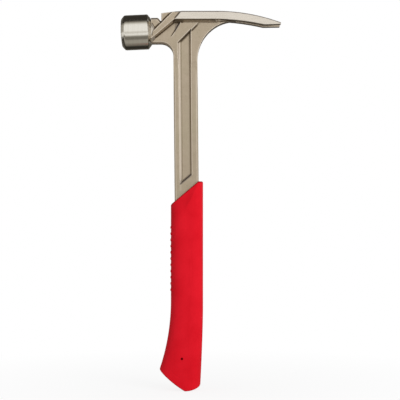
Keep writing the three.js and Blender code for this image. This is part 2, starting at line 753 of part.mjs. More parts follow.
const grip = new THREE.Group();
grip.add(piece('grip_core', geometryOf(coreBody(0).subtract(tang(CLEARANCE))), 0x1c1c1e, 0.6, 0));
grip.add(piece('grip_sleeve', geometryOf(sleeve()), 0xd81e2c, 0.55, 0));
hammer.add(grip);

// The origin is under the middle of the hammer, level with the lowest point of the butt.
const box = new THREE.Box3().setFromObject(hammer);
hammer.position.set(-(box.min.x + box.max.x) / 2, 0, -box.min.z);
hammer.updateMatrixWorld(true);

export default hammer;
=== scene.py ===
import math

import bmesh
import bpy
import numpy as np
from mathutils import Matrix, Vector


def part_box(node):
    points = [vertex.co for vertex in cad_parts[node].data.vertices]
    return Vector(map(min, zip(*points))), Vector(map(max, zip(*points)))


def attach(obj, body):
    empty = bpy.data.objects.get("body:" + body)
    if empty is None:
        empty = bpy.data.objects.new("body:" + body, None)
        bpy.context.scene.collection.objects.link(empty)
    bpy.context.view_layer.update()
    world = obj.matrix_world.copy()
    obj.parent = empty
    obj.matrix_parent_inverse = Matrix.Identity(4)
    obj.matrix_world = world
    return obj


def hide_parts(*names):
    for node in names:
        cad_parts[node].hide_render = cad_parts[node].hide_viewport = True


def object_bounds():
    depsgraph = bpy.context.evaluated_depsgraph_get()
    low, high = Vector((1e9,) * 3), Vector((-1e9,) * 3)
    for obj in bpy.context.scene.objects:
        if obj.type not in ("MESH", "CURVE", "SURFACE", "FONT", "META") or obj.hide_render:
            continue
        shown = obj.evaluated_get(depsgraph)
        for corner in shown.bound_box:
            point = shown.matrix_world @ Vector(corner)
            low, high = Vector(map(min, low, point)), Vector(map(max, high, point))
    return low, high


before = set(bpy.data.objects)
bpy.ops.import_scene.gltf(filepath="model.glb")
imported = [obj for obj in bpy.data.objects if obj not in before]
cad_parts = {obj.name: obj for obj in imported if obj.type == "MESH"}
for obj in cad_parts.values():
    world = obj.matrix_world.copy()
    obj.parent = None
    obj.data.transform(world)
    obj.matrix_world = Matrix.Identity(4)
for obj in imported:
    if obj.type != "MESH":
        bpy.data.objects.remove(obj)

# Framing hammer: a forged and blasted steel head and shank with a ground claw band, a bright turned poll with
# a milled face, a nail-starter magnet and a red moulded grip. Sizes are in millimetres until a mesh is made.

cad_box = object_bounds()

MM = 0.001
LENGTH = 406.4
CLAW_REACH = 100.4

# The formulas below have x = 0 on the grip's centre line. The frame has it under the middle of the hammer.
SHIFT = np.array([cad_box[1][0] / MM - CLAW_REACH, 0, cad_box[1][2] / MM - LENGTH])

# Poll
POLL_RADIUS = 18.75
POLL_BARREL = 24.9
POLL_REACH = 54.3
POLL_MIDDLE = (-POLL_REACH, 0, LENGTH - 21.5)
POLL_TILT = math.radians(2.6)
RIM_LENGTH = 3.4
RIM_HEIGHT = 4.2
FACE_CROWN = 1.1
TOOTH_PITCH = 2.9
TOOTH_DEPTH = 1.5
TOOTH_ANGLE = math.radians(70)
CONE_LENGTH = 3.5
CONE_RADIUS = 14.3
POLL_ROUNDS = (0.3, 0.5, 1.6, 0.6)
NECK_END = -POLL_REACH + POLL_BARREL / 2 + CONE_LENGTH
POLL_LAP = 0.05
GROOVE_RADIUS = 2.6
GROOVE_BOTTOM = 398.5
GROOVE_START = -28
GROOVE_LENGTH = 60

# Claw band
BAND_START = -13
WEB_START = -3
WEB_END = 38
# How far below the band the painted shade stays full, and over what run it fades out
UNDERCUT_DARK = 1.5
UNDERCUT_FADE = 2
CLAW_BEND = 30
ROOT_HALF = 13.6
TIP_HALF = 16

# Shank
SHANK_HALF = 6.5
SHANK_LEAN = 1.6
SHANK_FOOT = 186
SHANK_TOP = 348
FULLER_WIDTH = 13.1
FULLER_OFFSET = -0.9
FULLER_DEPTH = 2.2
FULLER_TOP = 392
LEFT_WALL_RUN = 2.6
# Width of the painted highlight line on the fuller's left wall
LEFT_WALL_BRIGHT = 1.7
GUSSET_LENGTH = 4.2
GRIP_LAP = 24

# Grip
GRIP_HALF = 17.3
GRIP_DEPTH = 13.8
GRIP_TOP = 214.1
GRIP_BACK_TOP = 224.5
GRIP_TOP_SLOPE = math.tan(math.radians(39.9))
GRIP_TOP_BEVEL = 1.5
SECTION_POWER = 2.7
FLARE_START = 96.5
FLARE_RADIUS = 231
BACK_TAPER = 3.2
BACK_TAPER_START = 88
BACK_TAPER_POWER = 1.5
BUTT_LOW_POINT = -2.2
BUTT_SLOPE = math.tan(math.radians(31))
BUTT_BOW = 67
BUTT_RADIUS = 31
BUTT_ROUND = 2
RIB_COUNT = 11
RIB_PITCH = 6.7
RIB_HEIGHT = 0.6
RIB_LENGTH = 3.2
RIB_LOWEST = 108
RIB_WRAP = 4
PIN_X = -5.3
PIN_Z = 34.9
PIN_RADIUS = 1.35
PIN_DEPTH = 6
FACET_CREASE = [(12.4, 222.5), (1.2, 199)]
FACET_DEPTH = 4.2
FACET_RUN = 8
FACET_LOW = 205
FACET_FADE = 16
SEAM_HEIGHT = 10.7
SEAM_DEPTH = 0.2
SEAM_WIDTH = 0.5
SEAM_START = -19
SEAM_END = -4
SEAM_FADE = 4
TOP_SHADE_LOW = 1.6
TOP_SHADE_HIGH = 0.9
BUTT_CAP_INSETS = (9, 7, 5, 3.5)
TOP_CAP_INSETS = (2, 3.5, 5, 7, 9)

# Magnet
MAGNET_RADIUS = 3
MAGNET_LENGTH = 4.5
MAGNET_CHAMFER = 0.35
MAGNET_CENTRE = 0.01

# Fineness of the meshes
VOXEL = 0.32
SMOOTHING_ROUNDS = 3
POLL_COUNT = 192
GRIP_COUNT = 160
GRIP_STEPS = 330
ROUND_STEPS = 8
BEVEL_STEPS = 4
PIN_COUNT = 32
MAGNET_COUNT = 64
CORNER_STEPS = 6
CROWN_STEPS = 9
GROOVE_STEPS = 16

# Edges that turn by more degrees than this are shaded sharp
POLL_SHARP = 28
GRIP_SHARP = 40
MAGNET_SHARP = 30

# Camera, in the same millimetres
CAMERA_PLACE = (14.04, -1460, 204.5)
CAMERA_LENS = 122.02
CAMERA_SENSOR = 36


# Mesh helpers

def in_frame(points):
    points = np.asarray(points, dtype=float)
    return (points + SHIFT) * MM


def new_piece(name, mesh, slot, *replaced):
    piece = bpy.data.objects.new(name, mesh)
    bpy.context.scene.collection.objects.link(piece)
    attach(piece, "root")
    if replaced:
        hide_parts(*replaced)
    return piece


def mesh_from(name, points, faces):
    mesh = bpy.data.meshes.new(name)
    mesh.from_pydata([tuple(p) for p in points], [], faces)
    mesh.validate()
    return mesh


def scratch_object(mesh):
    ob = bpy.data.objects.new("scratch", mesh)
    bpy.context.scene.collection.objects.link(ob)
    return ob


def applied(mesh, *modifiers):
    """The mesh with modifiers applied, each a (type, settings) pair."""
    ob = scratch_object(mesh)
    for kind, settings in modifiers:
        modifier = ob.modifiers.new(kind, kind)
        for key, value in settings.items():
            setattr(modifier, key, value)
    bpy.context.view_layer.update()
    result = bpy.data.meshes.new_from_object(ob.evaluated_get(bpy.context.evaluated_depsgraph_get()))
    bpy.data.objects.remove(ob)
    return result


def cut_by(mesh, *cutters):
    """The mesh with each cutter mesh taken away."""
    for cutter in cutters:
        tool = scratch_object(cutter)
        mesh = applied(mesh, ("BOOLEAN", {"operation": "DIFFERENCE", "solver": "EXACT", "object": tool}))
        bpy.data.objects.remove(tool)
    return mesh


def smooth(mesh, angle):
    mesh.polygons.foreach_set("use_smooth", [True] * len(mesh.polygons))
    mesh.set_sharp_from_angle(angle=math.radians(angle))


def rings_to_faces(count, rings):
    """Quads between rings of count points each; the two ends are closed by one face each."""
    faces = []
    for r in range(rings - 1):
        for i in range(count):
            j = (i + 1) % count
            a, b = r * count + i, r * count + j
            faces.append((a, b, b + count, a + count))
    last = (rings - 1) * count
    faces.append(tuple(reversed(range(count))))
    faces.append(tuple(range(last, last + count)))
    return faces


def positions(mesh):
    flat = np.empty(len(mesh.vertices) * 3)
    mesh.vertices.foreach_get("co", flat)
    return flat.reshape(-1, 3)


def normals(mesh):
    flat = np.empty(len(mesh.vertices) * 3)
    mesh.vertex_normals.foreach_get("vector", flat)
    return flat.reshape(-1, 3)


def store(mesh, name, values):
    layer = mesh.attributes.new(name, "FLOAT", "POINT")
    layer.data.foreach_set("value", np.asarray(values, dtype=np.float32))


def smoothstep(low, high, value):
    t = np.clip((value - low) / (high - low), 0, 1)
    return t * t * (3 - 2 * t)


def neighbour_mean(mesh):
    """A function that averages a value over each point's neighbours."""
    flat = np.empty(len(mesh.edges) * 2, dtype=np.int64)
    mesh.edges.foreach_get("vertices", flat)
    one, other = flat.reshape(-1, 2).T
    size = len(mesh.vertices)
    count = np.maximum(np.bincount(flat, minlength=size), 1)

    def mean(values):
        total = np.bincount(one, values[other], size) + np.bincount(other, values[one], size)
        return total / count

    return mean


def spread(values, mean, rounds):
    for _ in range(rounds):
        values = (values + mean(values)) / 2
    return values


# Forging without its poll and without the part hidden in the grip, with its edges rounded as forged

def into_fuller(x, z):
    """How far a point lies to the right of the fuller's left edge."""
    centre = -SHANK_LEAN * (z - SHANK_FOOT) / (SHANK_TOP - SHANK_FOOT)
    return x - (centre + FULLER_OFFSET - FULLER_WIDTH / 2)


def ease_left_wall(mesh):
    """Gives the fuller's left wall a gentler slope, so that it catches the light as in the photograph."""
    points = positions(mesh) / MM - SHIFT
    x, y, z = points.T
    run = into_fuller(x, z)
    wall = SHANK_HALF - FULLER_DEPTH * run / LEFT_WALL_RUN
    inside = (run > 0) & (run < LEFT_WALL_RUN) & (z > GRIP_TOP) & (z < FULLER_TOP)
    points[:, 1] = np.where(inside & (np.abs(y) < wall), np.sign(y) * wall, y)
    mesh.vertices.foreach_set("co", in_frame(points).ravel())
    mesh.update()


def cut_forging():
    """The forging's own solid, cut off at the poll's cone and a little way inside the grip."""
    bm = bmesh.new()
    bm.from_mesh(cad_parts["steel_forging"].data)
    bmesh.ops.remove_doubles(bm, verts=bm.verts[:], dist=0.001 * MM)
    cuts = [
        (in_frame((NECK_END - POLL_LAP, 0, 0)), (-1, 0, 0)),
        (in_frame((0, 0, GRIP_TOP - GRIP_LAP)), (0, 0, -1)),
    ]
    for point, outward in cuts:
        everything = bm.verts[:] + bm.edges[:] + bm.faces[:]
        bmesh.ops.bisect_plane(bm, geom=everything, plane_co=point, plane_no=outward, clear_outer=True)
        rim = [e for e in bm.edges if e.is_boundary]
        bmesh.ops.triangle_fill(bm, edges=rim, use_beauty=True, use_dissolve=False)
    bmesh.ops.recalc_face_normals(bm, faces=bm.faces[:])
    mesh = bpy.data.meshes.new("forging")
    bm.to_mesh(mesh)
    bm.free()
    return mesh


def below_band(x, y):
    """How far a point lies in from the sides of the claw, which widens from its bend to its tip."""
    along = np.clip((x - CLAW_BEND) / (CLAW_REACH + 1 - CLAW_BEND), 0, 1)
    return ROOT_HALF + (TIP_HALF - ROOT_HALF) * along - np.abs(y)


def ground_sides(x, below, facing):
    """The ground sides of the claw and, less bright, the gusset behind the poll."""
    band = smoothstep(0.45, 0.2, below) * (x > BAND_START - 0.5)
    gusset_end = NECK_END + GUSSET_LENGTH
    gusset = smoothstep(0.2, 0.35, facing[:, 0]) * smoothstep(gusset_end + 0.4, gusset_end, x)
    return np.maximum(band, 0.7 * gusset)


def lit_undercut(x, z, below):
    """The foot of the slope below the band, where it meets the web and is lit again, so that the painted
    shade is lifted there.
    """
    over_web = smoothstep(WEB_START - 2, WEB_START, x) * smoothstep(WEB_END, WEB_END - 4, x)
    over_web *= smoothstep(FULLER_TOP - 1, FULLER_TOP + 1, z)
    return over_web * smoothstep(UNDERCUT_DARK, UNDERCUT_DARK + UNDERCUT_FADE, below)


def mark_forging(mesh):
    """Stores where the forging is ground, where its edges are brightened by rubbed wear and a painted
    highlight, and where painted shade falls: in its recesses, along its top edges and on the faces beneath
    the claw.
    """
    x, y, z = (positions(mesh) / MM - SHIFT).T
    facing = normals(mesh)
    mean = neighbour_mean(mesh)
    below = below_band(x, y)
    store(mesh, "ground", ground_sides(x, below, facing))

    # Painted shade: a dark line along the top edges of the head and claw.
    upward = spread(facing[:, 2], mean, 16)
    store(mesh, "crown", smoothstep(0.05, 0.25, upward) * smoothstep(0.95, 0.8, upward) * (x > BAND_START))

    run = into_fuller(x, z)
    in_fuller = (run > 0) & (run < FULLER_WIDTH) & (z > GRIP_TOP) & (z < FULLER_TOP)
    sunk = in_fuller * smoothstep(-0.1, 0.2, SHANK_HALF - np.abs(y))
    left_wall = sunk * smoothstep(LEFT_WALL_RUN + 0.5, LEFT_WALL_RUN, run)
    # Painted highlight: a bright line along the fuller's left wall.
    painted_highlight_line = sunk * smoothstep(LEFT_WALL_BRIGHT + 0.6, LEFT_WALL_BRIGHT, run)

    # Convex edges are brightened: partly rubbed wear, partly painted highlight; the painted highlight line on
    # the fuller's left wall is joined in.
    around = np.stack([mean(p) for p in positions(mesh).T], axis=1)
    proud = np.einsum("ij,ij->i", positions(mesh) - around, facing) / MM / VOXEL
    store(mesh, "edge", np.maximum(smoothstep(0.010, 0.05, spread(proud, mean, 3)), painted_highlight_line))

    lit_foot = lit_undercut(x, z, below)
    # Painted shade: concave corners and recess walls are darkened, but not on the fuller's left wall or where
    # the foot below the band is lit.
    painted_shade_hollow = smoothstep(0.004, 0.02, -spread(proud, mean, 9))
    store(mesh, "painted_shade_hollow", painted_shade_hollow * (1 - left_wall) * (1 - 0.45 * in_fuller) * (1 - 0.8 * lit_foot))
    # Painted shade: faces that face down beneath the claw are darkened, less so where the slope below the
    # band is lit again.
    painted_shade_below = smoothstep(0.25, 0.6, -facing[:, 2]) * (x > BAND_START - 2)
    store(mesh, "painted_shade_below", painted_shade_below * (1 - lit_foot))


def forging_mesh():
    mesh = applied(
        cut_forging(),
        ("REMESH", {"mode": "VOXEL", "voxel_size": VOXEL * MM, "use_smooth_shade": True}),
        ("SMOOTH", {"factor": 0.5, "iterations": SMOOTHING_ROUNDS}),
    )
    ease_left_wall(mesh)
    mark_forging(mesh)
    return mesh


# Turned poll with the milled waffle on its face and the nail groove along its top

def on_poll(along, across, up):
    """A point in the poll's own axes: along to the face, across to the side, up."""
    c, s = math.cos(POLL_TILT), math.sin(POLL_TILT)
    x0, y0, z0 = POLL_MIDDLE
    return (x0 - c * along - s * up, y0 + across, z0 - s * along + c * up)


def poll_profile():
    """Half outline of the turned poll, (radius, along), from its back to the middle of the face."""
    half = POLL_BARREL / 2
    face = POLL_RADIUS - RIM_HEIGHT
    crown = (face ** 2 + FACE_CROWN ** 2) / (2 * FACE_CROWN)
    apex = half + RIM_LENGTH + FACE_CROWN
    corners = [
        (CONE_RADIUS, -half - CONE_LENGTH),
        (POLL_RADIUS, -half),
        (POLL_RADIUS, half),
        (face, half + RIM_LENGTH),
    ]
    before = [(0, -half - CONE_LENGTH)] + corners[:-1]
    after = corners[1:] + [(0, apex)]
    profile = []
    for place, radius, start, end in zip(corners, POLL_ROUNDS, before, after):
        corner = Vector(place)
        back = (Vector(start) - corner).normalized() * radius
        ahead = (Vector(end) - corner).normalized() * radius
        for step in range(CORNER_STEPS + 1):
            t = step / CORNER_STEPS
            profile.append(tuple(corner + back * (1 - t) ** 2 + ahead * t ** 2))
    for step in range(1, CROWN_STEPS):
        r = face * (1 - step / CROWN_STEPS)
        profile.append((r, apex - crown + math.sqrt(crown ** 2 - r ** 2)))
    return profile


def prism(section, place):
    """A straight cutter: section points (u, v), carried to two ends by place(u, v, end)."""
    count = len(section)
    points = [place(u, v, end) for end in (-1, 1) for u, v in section]
    return points, rings_to_faces(count, 2)


def joined(name, parts):
    points = []
    faces = []
    for part_points, part_faces in parts:
        start = len(points)
        points += part_points
        faces += [tuple(start + i for i in face) for face in part_faces]
    mesh = mesh_from(name, in_frame(points), faces)
    bm = bmesh.new()
    bm.from_mesh(mesh)
    bmesh.ops.recalc_face_normals(bm, faces=bm.faces[:])
    bm.to_mesh(mesh)
    bm.free()
    return mesh


def milling_cutters():
    apex = POLL_BARREL / 2 + RIM_LENGTH + FACE_CROWN
    above = 0.3
    half = (TOOTH_DEPTH + above) * math.tan(TOOTH_ANGLE / 2)
    vee = [(0, apex - TOOTH_DEPTH), (half, apex + above), (-half, apex + above)]
    rows = math.ceil((POLL_RADIUS - RIM_HEIGHT) / TOOTH_PITCH)
    reach = 2 * POLL_RADIUS
    upright = []
    level = []
    for row in range(-rows, rows):
        middle = (row + 0.5) * TOOTH_PITCH
        upright.append(prism(vee, lambda u, v, end: on_poll(v, middle + u, end * reach)))
        level.append(prism(vee, lambda u, v, end: on_poll(v, end * reach, middle + u)))
    return joined("upright", upright), joined("level", level)


def groove_cutter():
    section = [(GROOVE_RADIUS, 2 * POLL_RADIUS)]
    for step in range(GROOVE_STEPS + 1):
        turn = math.pi * step / GROOVE_STEPS
        section.append((GROOVE_RADIUS * math.cos(turn), GROOVE_RADIUS * (1 - math.sin(turn))))
    section.append((-GROOVE_RADIUS, 2 * POLL_RADIUS))
    c, s = math.cos(POLL_TILT), math.sin(POLL_TILT)

    def place(u, v, end):
        along = GROOVE_LENGTH * (1 + end) / 2
        return (GROOVE_START - c * along - s * v, u, GROOVE_BOTTOM - s * along + c * v)

    return joined("groove", [prism(section, place)])


def poll_mesh():
    profile = poll_profile()
    points = []
    for r, a in profile:
        for i in range(POLL_COUNT):
            turn = 2 * math.pi * i / POLL_COUNT
            points.append(on_poll(a, r * math.cos(turn), r * math.sin(turn)))
    mesh = joined("poll", [(points, rings_to_faces(POLL_COUNT, len(profile)))])
    mesh = cut_by(mesh, *milling_cutters(), groove_cutter())
    smooth(mesh, POLL_SHARP)
    return mesh


# Grip

def front_edge(z):
    down = np.maximum(0, FLARE_START - z)
    return -GRIP_HALF - FLARE_RADIUS + np.sqrt(FLARE_RADIUS ** 2 - down ** 2)


def back_edge(z):
    down = np.maximum(0, BACK_TAPER_START - z) / BACK_TAPER_START
    return GRIP_HALF - BACK_TAPER * down ** BACK_TAPER_POWER


def butt_height(x):
    heel = x - BUTT_LOW_POINT
    slope = -heel * BUTT_SLOPE + heel ** 2 / (2 * BUTT_BOW)
    rise = BUTT_RADIUS - np.sqrt(np.maximum(0, BUTT_RADIUS ** 2 - heel ** 2))
    return np.where(heel < 0, slope, rise)


def top_height(x):
    return np.minimum(GRIP_TOP + GRIP_TOP_SLOPE * x, GRIP_BACK_TOP)


def edge_height(edge, share):
    low, high = 0.0, GRIP_BACK_TOP
    for _ in range(40):
        z = (low + high) / 2
        x = edge(z)
        if z < butt_height(x) * (1 - share) + top_height(x) * share:
            low = z
        else:
            high = z
    return low


def facet(x, z):
    """Depth of the flat that is taken off each side next to the slanted top edge."""
    (x0, z0), (x1, z1) = FACET_CREASE
    run = math.hypot(x1 - x0, z1 - z0)
    beyond = ((x - x0) * (z1 - z0) - (z - z0) * (x1 - x0)) / run
    beyond = np.maximum(0, beyond)
    depth = FACET_DEPTH * (1 - np.exp(-beyond / FACET_RUN))
    return depth * smoothstep(FACET_LOW - FACET_FADE, FACET_LOW, z)


def seam(x, z):
    """Depth of the fine mould line that runs along the butt."""
    above = z - butt_height(x)
    along = smoothstep(SEAM_START, SEAM_START + SEAM_FADE, x) * smoothstep(SEAM_END, SEAM_END - SEAM_FADE, x)
    return SEAM_DEPTH * np.exp(-((above - SEAM_HEIGHT) / SEAM_WIDTH) ** 2) * along


def grip_ring(share, inset):
    front = front_edge(edge_height(front_edge, share)) + inset
    back = back_edge(edge_height(back_edge, share)) - inset
    middle = (front + back) / 2
    half = (back - front) / 2
    turn = np.arange(GRIP_COUNT) / GRIP_COUNT * 2 * np.pi
    c, s = np.cos(turn), np.sin(turn)
    power = 2 / SECTION_POWER
    x = middle + half * np.sign(c) * np.abs(c) ** power
    y = (GRIP_DEPTH - inset) * np.sign(s) * np.abs(s) ** power
    z = butt_height(x) * (1 - share) + top_height(x) * share
    z = np.maximum(z, cad_box[0][2] / MM - SHIFT[2])
    y = y * (1 - (facet(x, z) + seam(x, z)) / GRIP_DEPTH)
    ribs = np.zeros(GRIP_COUNT)
    for rib in range(RIB_COUNT):
        off = np.abs(z - RIB_LOWEST - rib * RIB_PITCH)
        ribs += smoothstep(RIB_LENGTH / 2, RIB_LENGTH / 4, off)
    wrap = smoothstep(RIB_WRAP, RIB_WRAP / 4, x - front)
    outward = np.stack([x - middle, y], axis=1)
    outward /= np.linalg.norm(outward, axis=1)[:, None]
    x = x + ribs * wrap * RIB_HEIGHT * outward[:, 0]
    y = y + ribs * wrap * RIB_HEIGHT * outward[:, 1]
    return np.stack([x, y, z], axis=1)


def pin_cutter(side):
    """The blind hole that the mould's core pin leaves in one side of the grip."""
    section = []
    for i in range(PIN_COUNT):
        turn = 2 * math.pi * i / PIN_COUNT
        section.append((PIN_X + PIN_RADIUS * math.cos(turn), PIN_Z + PIN_RADIUS * math.sin(turn)))
    floor = GRIP_DEPTH - PIN_DEPTH
    beyond = 3 * GRIP_DEPTH

    def place(u, v, end):
        return (u, side * (floor if end < 0 else beyond), v)

    return joined("pin", [prism(section, place)])


def grip_mesh():
    run = top_height(0) - butt_height(0)
    rings = []
    for inset in BUTT_CAP_INSETS:
        rings.append(grip_ring(0, inset))
    for step in range(ROUND_STEPS):
        turn = step / ROUND_STEPS * math.pi / 2
        rings.append(grip_ring(BUTT_ROUND * (1 - math.cos(turn)) / run, BUTT_ROUND * (1 - math.sin(turn))))
    start = BUTT_ROUND / run
    end = 1 - GRIP_TOP_BEVEL / run
    for step in range(GRIP_STEPS + 1):
        rings.append(grip_ring(start + (end - start) * step / GRIP_STEPS, 0))
    for step in range(1, BEVEL_STEPS + 1):
        turn = step / BEVEL_STEPS * math.pi / 2
        inset = GRIP_TOP_BEVEL * (1 - math.cos(turn))
        rings.append(grip_ring(end + (1 - end) * math.sin(turn), inset))
    for inset in TOP_CAP_INSETS:
        rings.append(grip_ring(1, inset))
    faces = rings_to_faces(GRIP_COUNT, len(rings))
    mesh = joined("grip", [([tuple(p) for ring in rings for p in ring], faces)])
    mesh = cut_by(mesh, pin_cutter(-1), pin_cutter(1))
    x, _, z = (positions(mesh) / MM - SHIFT).T
    # Painted shade: the grip's top and a narrow band below its slanted top edge are darkened.
    store(mesh, "rim", smoothstep(TOP_SHADE_LOW, TOP_SHADE_HIGH, top_height(x) - z))
    smooth(mesh, GRIP_SHARP)
    return mesh


# Magnet: a plated disc with broken edges

def magnet_mesh():
    low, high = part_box("nail_magnet")
    middle = [(a + b) / 2 for a, b in zip(low, high)]
    half = MAGNET_LENGTH / 2
    flat = MAGNET_RADIUS - MAGNET_CHAMFER
    straight = half - MAGNET_CHAMFER
    profile = [
        (MAGNET_CENTRE, -half), (flat, -half), (MAGNET_RADIUS, -straight),
        (MAGNET_RADIUS, straight), (flat, half), (MAGNET_CENTRE, half),
    ]
    points = []
    for r, a in profile:
        for i in range(MAGNET_COUNT):
            turn = 2 * math.pi * i / MAGNET_COUNT
            points.append((
                middle[0] + MM * r * math.cos(turn),
                middle[1] + MM * r * math.sin(turn),
                middle[2] + MM * a,
            ))
    mesh = mesh_from("magnet", points, rings_to_faces(MAGNET_COUNT, len(profile)))
    smooth(mesh, MAGNET_SHARP)
    return mesh


# Materials

class Nodes:
    """Short names for building the nodes of one material or world."""

    def __init__(self, owner, output):
        owner.use_nodes = True
        self.owner = owner
        self.tree = owner.node_tree
        self.tree.nodes.clear()
        self.out = self.tree.nodes.new(output)
        self.coords = self.tree.nodes.new("ShaderNodeTexCoord").outputs["Object"]

    def node(self, kind, **settings):
        made = self.tree.nodes.new(kind)
        for key, value in settings.items():
            setattr(made, key, value)
        return made

    def join(self, source, target):
        self.tree.links.new(source, target)

    def feed(self, socket, value):
        if isinstance(value, bpy.types.NodeSocket):
            self.join(value, socket)
        else:
            socket.default_value = value

    def surface(self, **values):
        shader = self.node("ShaderNodeBsdfPrincipled")
        for key, value in values.items():
            self.feed(shader.inputs[key.replace("_", " ")], value)
        self.join(shader.outputs[0], self.out.inputs["Surface"])
        return shader

    def stretched(self, scale):
        mapping = self.node("ShaderNodeMapping")
        self.join(self.coords, mapping.inputs["Vector"])
        mapping.inputs["Scale"].default_value = scale
        return mapping.outputs[0]

    def noise(self, scale, detail=3, rough=0.55, vector=None):
        made = self.node("ShaderNodeTexNoise")
        self.join(vector or self.coords, made.inputs["Vector"])
        made.inputs["Scale"].default_value = scale
        made.inputs["Detail"].default_value = detail
        made.inputs["Roughness"].default_value = rough
        return made.outputs["Fac"]

    def scaled(self, value, low, high, to_low=0.0, to_high=1.0):
        made = self.node("ShaderNodeMapRange")
        self.feed(made.inputs["Value"], value)
        for key, number in (("From Min", low), ("From Max", high), ("To Min", to_low), ("To Max", to_high)):
            self.feed(made.inputs[key], number)
        return made.outputs["Result"]

    def math(self, operation, a, b):
        made = self.node("ShaderNodeMath", operation=operation)
        self.feed(made.inputs[0], a)
        self.feed(made.inputs[1], b)
        return made.outputs[0]

    def mix(self, amount, a, b):
        made = self.node("ShaderNodeMix", data_type="RGBA")
        self.feed(made.inputs["Factor"], amount)
        self.feed(made.inputs[6], a)
        self.feed(made.inputs[7], b)
        return made.outputs[2]

    def blend(self, amount, a, b):
        made = self.node("ShaderNodeMix", data_type="FLOAT")
        self.feed(made.inputs["Factor"], amount)
        self.feed(made.inputs[2], a)
        self.feed(made.inputs[3], b)
        return made.outputs[0]

    def attribute(self, name):
        return self.node("ShaderNodeAttribute", attribute_name=name).outputs["Fac"]

    def bump(self, height, distance, strength=1.0, after=None):
        made = self.node("ShaderNodeBump")
        self.join(height, made.inputs["Height"])
        made.inputs["Distance"].default_value = distance
        made.inputs["Strength"].default_value = strength
        if after is not None:
            self.join(after, made.inputs["Normal"])
        return made.outputs[0]


def material_nodes(name):
    return Nodes(bpy.data.materials.new(name), "ShaderNodeOutputMaterial")


def srgb(*levels):
    """A colour written as 0 to 255 screen levels."""
    shares = [level / 255 for level in levels]
    return tuple(s / 12.92 if s <= 0.04045 else ((s + 0.055) / 1.055) ** 2.4 for s in shares) + (1,)


def forged_steel():
    m = material_nodes("forged_steel")
    blast = m.noise(2600, 4, 0.6)
    mottle = m.noise(120, 4, 0.6)
    patches = m.noise(28, 3, 0.5)
    scale_pits = m.scaled(m.noise(650, 2, 0.5), 0.62, 0.75)
    edge = m.attribute("edge")
    painted_shade_hollow = m.attribute("painted_shade_hollow")
    ground = m.attribute("ground")
    tone = m.mix(m.scaled(mottle, 0.35, 0.65), srgb(178, 163, 142), srgb(187, 172, 151))
    tone = m.mix(m.scaled(patches, 0.4, 0.65, 0, 0.35), tone, srgb(177, 167, 140))
    tone = m.mix(m.math("MULTIPLY", scale_pits, 0.3), tone, srgb(136, 120, 100))
    # Painted shade on the faces that face down beneath the claw.
    tone = m.mix(m.math("MULTIPLY", m.attribute("painted_shade_below"), 0.6), tone, srgb(66, 52, 34))
    # Painted shade in the concave corners and recesses.
    tone = m.mix(m.math("MULTIPLY", painted_shade_hollow, 0.9), tone, srgb(74, 57, 37))
    # Bright edges: partly rubbed wear, partly painted highlight.
    tone = m.mix(m.math("MULTIPLY", edge, 0.9), tone, srgb(226, 213, 196))
    lines = m.noise(900, 3, 0.6, m.stretched((0.05, 1, 1)))
    bright = m.mix(m.scaled(lines, 0.35, 0.65), srgb(214, 206, 193), srgb(225, 217, 205))
    colour = m.mix(ground, tone, bright)
    # Painted shade: the dark line along the top edges.
    colour = m.mix(m.math("MULTIPLY", m.attribute("crown"), 0.8), colour, srgb(98, 89, 84))
    rough = m.scaled(mottle, 0.3, 0.7, 0.32, 0.4)
    rough = m.blend(m.math("MULTIPLY", edge, 0.7), rough, 0.3)
    rough = m.blend(ground, rough, m.scaled(lines, 0.3, 0.7, 0.24, 0.34))
    soft = m.bump(patches, 0.0006, 0.35)
    grain = m.blend(ground, blast, m.math("MULTIPLY", lines, 0.3))
    normal = m.bump(grain, 0.00006, 0.55, soft)
    m.surface(
        Base_Color=colour, Metallic=0.8, Roughness=rough, Normal=normal,
        Specular_IOR_Level=0.0,
    )
    return m.owner


def turned_steel():
    m = material_nodes("turned_steel")
    lathe = m.noise(700, 3, 0.6, m.stretched((1, 0.02, 0.02)))
    smear = m.noise(60, 3, 0.55)
    colour = m.mix(m.scaled(lathe, 0.3, 0.7), srgb(220, 216, 205), srgb(230, 226, 216))
    rough = m.scaled(smear, 0.3, 0.7, 0.16, 0.24)
    tangent = m.node("ShaderNodeTangent", direction_type="RADIAL", axis="X").outputs[0]
    normal = m.bump(lathe, 0.00004, 0.35)
    m.surface(
        Base_Color=colour, Metallic=1.0, Roughness=rough, Normal=normal,
        Anisotropic=0.7, Anisotropic_Rotation=0.25, Tangent=tangent,
    )
    return m.owner


def red_grip():
    m = material_nodes("red_grip")
    pebble = m.noise(1500, 3, 0.55)
    cloud = m.noise(45, 3, 0.5)
    streaks = m.noise(260, 3, 0.6, m.stretched((1, 1, 0.06)))
    colour = m.mix(m.scaled(cloud, 0.35, 0.65), srgb(211, 18, 33), srgb(220, 24, 39))
    colour = m.mix(m.scaled(streaks, 0.58, 0.75, 0, 0.35), colour, srgb(196, 10, 24))
    # Painted shade along the grip's top edge.
    colour = m.mix(m.math("MULTIPLY", m.attribute("rim"), 0.6), colour, srgb(120, 6, 14))
    rough = m.scaled(cloud, 0.3, 0.7, 0.46, 0.58)
    soft = m.bump(streaks, 0.00012, 0.3)
    normal = m.bump(pebble, 0.00005, 0.5, soft)
    m.surface(Base_Color=colour, Roughness=rough, Normal=normal, Specular_IOR_Level=0.06)
    return m.owner


def plated():
    m = material_nodes("plated_magnet")
    wear = m.noise(900, 4, 0.6)
    colour = m.mix(m.scaled(wear, 0.4, 0.65), srgb(196, 197, 199), srgb(168, 168, 168))
    rough = m.scaled(wear, 0.3, 0.7, 0.18, 0.34)
    m.surface(Base_Color=colour, Metallic=1.0, Roughness=rough, Normal=m.bump(wear, 0.00003, 0.4))
    return m.owner


